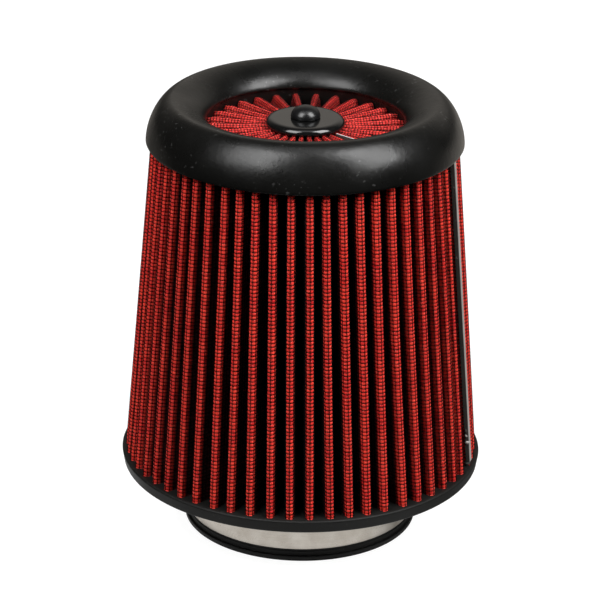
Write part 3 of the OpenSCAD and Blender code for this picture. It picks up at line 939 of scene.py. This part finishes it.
def build_seam_clip():
    """The folded clip over the seam pleat: a bright web, and dark speckled legs."""
    inner, leg = CLIP_HALF - CLIP_THICK, -CLIP_THICK - CLIP_LEG
    section = [(leg, -CLIP_HALF)]
    section += arc(-CLIP_ROUND, CLIP_ROUND - CLIP_HALF, CLIP_ROUND, 270, 360, 4)
    section += arc(-CLIP_ROUND, CLIP_HALF - CLIP_ROUND, CLIP_ROUND, 0, 90, 4)
    section += [(leg, CLIP_HALF), (leg, inner), (-CLIP_THICK, inner), (-CLIP_THICK, -inner), (leg, -inner)]
    out, sideways = np.array(section).T
    stations = np.linspace(CONE_Z0 + CLIP_FOOT, CONE_Z1, 41)[:, None]
    share = (stations - CONE_Z0) / CONE_H
    radius = cone_reach(share) + CLIP_REACH + out
    sections = place_round(radius, sideways, stations, cone_turn(CLIP_PLEAT, share))
    clip = lofted_piece("seam_clip_channel", sections, [clip_alloy, dark_speckled],
                        slot="clip_alloy", stands_for=("seam_clip",))
    # Faces that look outwards, the web, take the alloy, and the legs and inner faces take the dark speckled
    # finish.
    two_sided(clip, lambda face: face.normal.dot(Vector((*face.center.xy, 0)).normalized()), 0.35)


def lump_piece(name, centre, size, finish, **rest):
    """A rounded, uneven lump."""
    turns, tilts = np.arange(16) * math.pi / 8, np.linspace(0, math.pi, 9)[:, None]
    uneven = 1 + chance.normal(0, 0.08, (9, 16)) * np.sin(tilts)
    x, y = np.sin(tilts) * np.cos(turns), np.sin(tilts) * np.sin(turns)
    shape = np.stack([x, y, np.cos(tilts) + 0 * turns], -1)
    lofted_piece(name, np.array(centre) + shape * uneven[..., None] * np.array(size), finish, **rest)


def build_clip_mastic():
    """Mastic squeezed out beside the clip, and the dark lump that fills its foot."""
    for name, height, depth, side, size, finish in (
            ("foot", 1.3, 1.5, 0.0, (1.5, 1.9, 1.5), dark_speckled),
            ("smear_low", 12.2, 0.3, -1.6, (1.1, 0.5, 0.8), pale_mastic),
            ("smear_mid", 15.5, 0.7, -1.6, (0.6, 0.4, 0.6), pale_mastic),
            ("smear_high", 18.0, 0.8, -1.6, (0.6, 0.4, 0.9), dark_speckled)):
        share = height / CONE_H
        angle = cone_turn(CLIP_PLEAT, share)
        centre = place_round(cone_reach(share) - depth, side, CONE_Z0 + height, angle)
        lump_piece(f"clip_mastic_{name}", centre, size, finish, slot="clip_alloy")


def build_rosette_strip():
    """The folded strip that closes the rosette's seam: bright on its fold, and dark on its sides."""
    high = ROSETTE_Z1 + 0.3
    low, slot_top, shoulder = high - STRIP_H, high - STRIP_TOP, high - STRIP_EDGE
    right = [(STRIP_SLOT_HALF, slot_top), (STRIP_SLOT_HALF, low), (STRIP_HALF, low),
             (STRIP_HALF, shoulder), (STRIP_HALF - STRIP_EDGE, high)]
    sideways, height = np.array([(-s, z) for s, z in right[2::-1]] + right
                                + [(-s, z) for s, z in right[:2:-1]]).T
    radius = np.linspace(STRIP_R0, STRIP_R1, 9)[:, None]
    sections = place_round(radius, sideways, height, STRIP_ANGLE)
    strip = lofted_piece("rosette_strip_folded", sections, [strip_alloy, dark_speckled],
                         slot="clip_alloy", stands_for=("rosette_seam_strip",))
    two_sided(strip, lambda face: face.normal.z, 0.3)


# Clamp

def band_radius(angle):
    """The band's inner radius along its run: it climbs over its own start before the housing."""
    climb = np.clip((angle - BAND_CLIMB) / 5.0, 0, 1)
    return NECK_R + (BAND_T + 0.03) * climb * climb * (3 - 2 * climb)


def strip_section(half, rounding):
    """A steel strip's section with rounded edges: (out from its inner face, upwards)."""
    section = []
    for x, z, first in ((BAND_T - rounding, half - rounding, 0), (rounding, half - rounding, 90),
                        (rounding, rounding - half, 180), (BAND_T - rounding, rounding - half, 270)):
        section += arc(x, z, rounding, first, first + 90, 3)
    return np.array(section).T


def build_band():
    """The band: once round the neck, then its tail over its own start, with the worm's slots."""
    angles = np.linspace(BAND_FIRST, BAND_LAST, 300)[:, None]
    out, upwards = strip_section(BAND_W / 2, 0.18)
    last = np.clip((BAND_LAST - angles) / 5.0, 0, 1)
    width = np.sqrt(1 - (1 - last) ** 2) * 0.55 + 0.45
    sections = place_round(band_radius(angles) + out, 0, BAND_Z + width * upwards, angles)
    band = lofted_piece("clamp_band_strip", sections, clamp_steel, slot="clamp_steel",
                        stands_for=("clamp_band",))
    boxes = []
    slant = math.tan(math.radians(SLOT_SLANT))
    for i in range(SLOTS):
        middle = SLOT_START + (i + 0.5) * math.degrees(SLOT_PITCH / TAIL_R)
        boxes.append([place_round(r, s - z * slant, BAND_Z + z, middle)
                      for r in (NECK_R + BAND_T + 0.015, TAIL_R + 1)
                      for z, s in ((-SLOT_REACH, -SLOT_HALF), (-SLOT_REACH, SLOT_HALF),
                                   (SLOT_REACH, SLOT_HALF), (SLOT_REACH, -SLOT_HALF))])
    cut_boxes(band, boxes)


def build_saddle():
    """The saddle under the housing, on the neck between the band's two ends."""
    angles = np.linspace(90 - SADDLE_HALF, 90 + SADDLE_HALF, 41)[:, None]
    out, upwards = strip_section(HOUSING_W / 2, 0.15)
    sections = place_round(NECK_R + out, 0, BAND_Z + upwards, angles)
    lofted_piece("clamp_saddle_strip", sections, clamp_steel, slot="clamp_steel",
                 stands_for=("clamp_saddle",))


def hood_outline(gap):
    """Half the hood's outline, from its foot to the top of its hump: (out, upwards)."""
    side = HOUSING_W / 2 - gap
    shoulder = TAIL_R + 0.15 + HOUSING_T - gap
    hump = HOUSING_HUMP + HOUSING_T - gap
    corner = 1.0 if gap == 0 else 0.4
    outline = [(0, side), (shoulder - corner, side)]
    outline += arc(shoulder - corner, side - corner, corner, 90, 0, 5)[1:]
    outline += [(shoulder, hump + 0.45)]
    outline += arc(shoulder + 0.45, hump + 0.45, 0.45, 180, 270, 3)[1:]
    outline += arc(WORM_Y, 0, hump, 90, 0, 10)
    return outline


def build_housing():
    """The housing: a bent hood whose feet stand on the band, with a hump over the worm."""
    stations = np.linspace(-HOUSING_L / 2, HOUSING_L / 2, 15)
    outer, inner = hood_outline(0), hood_outline(HOUSING_T)
    outer = outer + [(y, -z) for y, z in outer[-2::-1]]
    inner = inner + [(y, -z) for y, z in inner[-2::-1]]
    count = len(outer)
    sections = []
    for x in stations:
        foot = math.sqrt((NECK_R + BAND_T) ** 2 - x * x)
        rim = [(x, max(y, foot), BAND_Z + z) for y, z in outer]
        rim += [(x, max(y, foot), BAND_Z + z) for y, z in inner[::-1]]
        sections.append(rim)
    sections = np.array(sections)
    total = 2 * count
    faces = [grid_faces(len(stations), total)[0]]
    caps = np.array([[k, k + 1, total - 2 - k, total - 1 - k] for k in range(count - 1)])
    faces.append(caps[:, ::-1])
    faces.append((len(stations) - 1) * total + caps)
    housing = new_piece("clamp_hood", sections.reshape(-1, 3), faces, clamp_steel, slot="clamp_steel",
                        stands_for=("clamp_housing",))
    weld(housing)
    round_edges(housing, 0.12, 50)


def screw_point(x, radius, turn):
    """A point at a radius and a turn in radians round the screw's axis."""
    return x, WORM_Y + radius * np.cos(turn), BAND_Z + radius * np.sin(turn)


def build_screw():
    """The worm with its thread, its two collars, and its slotted hexagon head."""
    stations, around = 141, 48
    turn = np.arange(around) * 2 * math.pi / around
    x = np.linspace(-7.15, 7.15, stations)[:, None]
    phase = (x / THREAD_PITCH - turn / (2 * math.pi)) % 1.0
    rise = np.clip(1.6 - np.abs(phase - 0.5) * 6.4, 0, 1)
    fade = np.clip((7.0 - np.abs(x)) / 0.8, 0, 1)
    radius = WORM_R + THREAD_H * rise * fade
    thread = np.stack(np.broadcast_arrays(*screw_point(x, radius, turn)), -1)
    lofted_piece("clamp_worm", thread, clamp_steel, body="clamp_screw", slot="clamp_steel",
                 stands_for=("clamp_screw",))

    angle = np.arange(around * 2) * math.pi / around
    hexagon = HEAD_FLAT / np.cos((angle + math.pi / 6) % (math.pi / 3) - math.pi / 6)

    def turned(name, outline, limit=np.inf):
        rows = [np.stack(screw_point(along + 0 * angle, np.minimum(r, limit), angle), -1)
                for along, r in outline]
        return lofted_piece(name, np.array(rows), clamp_steel, body="clamp_screw", slot="clamp_steel")

    collar = [(7.2, 3.7), (7.35, 3.9), (8.05, 3.9), (8.2, 3.75)]
    for name, side in (("worm_collar_near", 1), ("worm_collar_far", -1)):
        turned(name, [(side * a, r) for a, r in collar[::side]])
    head = turned("worm_head", [(8.2, 3.9), (8.5, 4.1), (11.9, 4.1), (12.9, 3.7), (13.2, 3.2)], hexagon)
    cut_boxes(head, [[(x, WORM_Y + y, BAND_Z + z) for x in (11.2, 14)
                      for y, z in ((-0.6, -6), (0.6, -6), (0.6, 6), (-0.6, 6))]])


build_flange()
build_cone()
build_ring()
build_rosette()
build_hub()
build_seam_clip()
build_clip_mastic()
build_rosette_strip()
build_band()
build_saddle()
build_housing()
build_screw()


# Stage, light and camera

EVERY_RAY_BUT_CAMERA = ("diffuse", "glossy", "transmission", "volume_scatter", "shadow")
EVERY_RAY_BUT_GLOSSY = ("camera", "diffuse", "transmission", "volume_scatter", "shadow")


def glowing_finish(name, color, roughness, glow):
    """A white surface with a glow of its own."""
    material, tree, shader = new_finish(name, color, roughness, Emission_Strength=glow)
    shader.inputs["Emission Color"].default_value = (1, 1, 1, 1)
    return material, tree, shader


def stage_piece(piece, finish, unseen_by):
    """Gives a studio piece its finish, and hides it from some kinds of rays."""
    piece.data.materials.append(finish)
    for ray in unseen_by:
        setattr(piece, "visible_" + ray, False)


def plain_stage(reach=6.0, dome_r=8.0):
    """A pale floor, and a white surround that only the camera sees."""
    corners = [(-reach, -reach, 0), (reach, -reach, 0), (reach, reach, 0), (-reach, reach, 0)]
    floor = simple_object("floor", corners, [(0, 1, 2, 3)])
    finish, _, _ = glowing_finish("floor_paper", (0.15, 0.15, 0.15), 0.9, 0.92)
    stage_piece(floor, finish, ("diffuse", "glossy"))

    bpy.ops.mesh.primitive_uv_sphere_add(radius=dome_r, segments=48, ring_count=24)
    surround = bpy.context.object
    surround.name = "surround"
    finish, _, _ = glowing_finish("surround_white", (0, 0, 0), 1.0, 1.1)
    stage_piece(surround, finish, EVERY_RAY_BUT_CAMERA)


def glow_card(steps=120):
    """A glowing ring of floor close round the foot, seen only in reflections: a painted reflection of lit
    floor. Its glow fades towards the right, as a painted shadow of the filter on the floor.
    """
    rings = (0.0550, 0.0568, 0.0585, 0.13)
    points = [(r * math.cos(t), r * math.sin(t), 0.0004)
              for t in np.radians(np.linspace(0, 360, steps + 1)) for r in rings]
    faces = [(4 * k + j, 4 * k + j + 1, 4 * k + j + 5, 4 * k + j + 4) for k in range(steps) for j in (0, 2)]
    finish, tree, shader = glowing_finish("card_white", (0, 0, 0), 1.0, 1.0)
    axes = add_node(tree, "SeparateXYZ", {0: add_node(tree, "TexCoord").outputs["Object"]}).outputs
    forward = maths(tree, "MAXIMUM", maths(tree, "ABSOLUTE", axes[1]), 0.01)
    rightward = maths(tree, "DIVIDE", axes[0], forward)
    # Painted shadow: the glow falls off towards the right.
    tree.links.new(ramp(tree, rightward, 0.8, 2.4, 1.22, 0.35), shader.inputs["Emission Strength"])
    stage_piece(simple_object("glow_card", points, faces), finish, EVERY_RAY_BUT_GLOSSY)


def soft_light(name, azimuth, elevation, distance, width, height, glow, mirrored):
    """A softbox that faces the filter, with the glow of its face. Azimuth 0 is the camera's side,
    and grows to the right. One that isn't mirrored is not seen in reflections."""
    a, e = math.radians(azimuth), math.radians(elevation)
    direction = Vector((math.sin(a) * math.cos(e), -math.cos(a) * math.cos(e), math.sin(e)))
    light = bpy.data.lights.new(name, "AREA")
    light.shape = "RECTANGLE"
    light.size, light.size_y = width, height
    light.energy = glow * math.pi * width * height
    lamp = link_object(name, light)
    lamp.location = Vector((0, 0, 0.12)) + direction * distance
    lamp.rotation_euler = direction.to_track_quat("Z", "Y").to_euler()
    lamp.visible_glossy = mirrored


def studio_world():
    """Dim behind the camera and bright behind the filter, as in a room with a white backdrop.
    The backdrop is dimmer at the left, and so is the lit floor below it."""
    world = bpy.data.worlds.new("studio")
    bpy.context.scene.world = world
    world.use_nodes = True
    tree = world.node_tree
    direction = add_node(tree, "TexCoord").outputs["Generated"]
    rightward, forward, upward = add_node(tree, "SeparateXYZ", {0: direction}).outputs
    backdrop = maths(tree, "MULTIPLY", ramp(tree, forward, 0.45, 0.85), ramp(tree, upward, 0.05, 0.30))
    level = maths(tree, "MULTIPLY_ADD", backdrop, ramp(tree, rightward, -0.50, -0.15, 0.12, 0.5), 0.02)
    below = maths(tree, "MULTIPLY", ramp(tree, forward, 0.2, 0.6), ramp(tree, upward, 0.0, -0.1))
    level = maths(tree, "MULTIPLY_ADD", below, ramp(tree, rightward, -0.5, 0.5, 0.15, 0.5), level)
    tree.links.new(level, tree.nodes["Background"].inputs["Strength"])
    tree.nodes["Background"].inputs["Color"].default_value = (1, 0.93, 0.84, 1)


def photo_camera():
    """The camera at the photograph's own viewpoint."""
    camera = bpy.data.cameras.new("camera")
    camera.sensor_width = 36
    camera.lens = CAMERA_LENS
    holder = link_object("camera", camera)
    look = Euler((math.pi / 2 - CAMERA_PITCH, 0, -CAMERA_YAW)).to_matrix()
    holder.rotation_euler = (look @ Matrix.Rotation(CAMERA_ROLL, 3, "Z")).to_euler()
    holder.location = CAMERA_PLACE
    bpy.context.scene.camera = holder


plain_stage()
glow_card()
studio_world()
soft_light("softbox_left", -44, 47, 1.6, 0.85, 1.1, 8.8, mirrored=True)
soft_light("softbox_right", 60, 46, 1.6, 0.8, 1.2, 12.4, mirrored=True)
soft_light("softbox_top", 0, 78, 1.6, 1.6, 0.8, 1.2, mirrored=True)
soft_light("fill_back_left", -142, 30, 1.8, 0.9, 0.9, 3.0, mirrored=False)
soft_light("fill_back_right", 142, 30, 1.8, 0.9, 0.9, 3.0, mirrored=False)
photo_camera()
bpy.context.scene.view_settings.view_transform = "Standard"
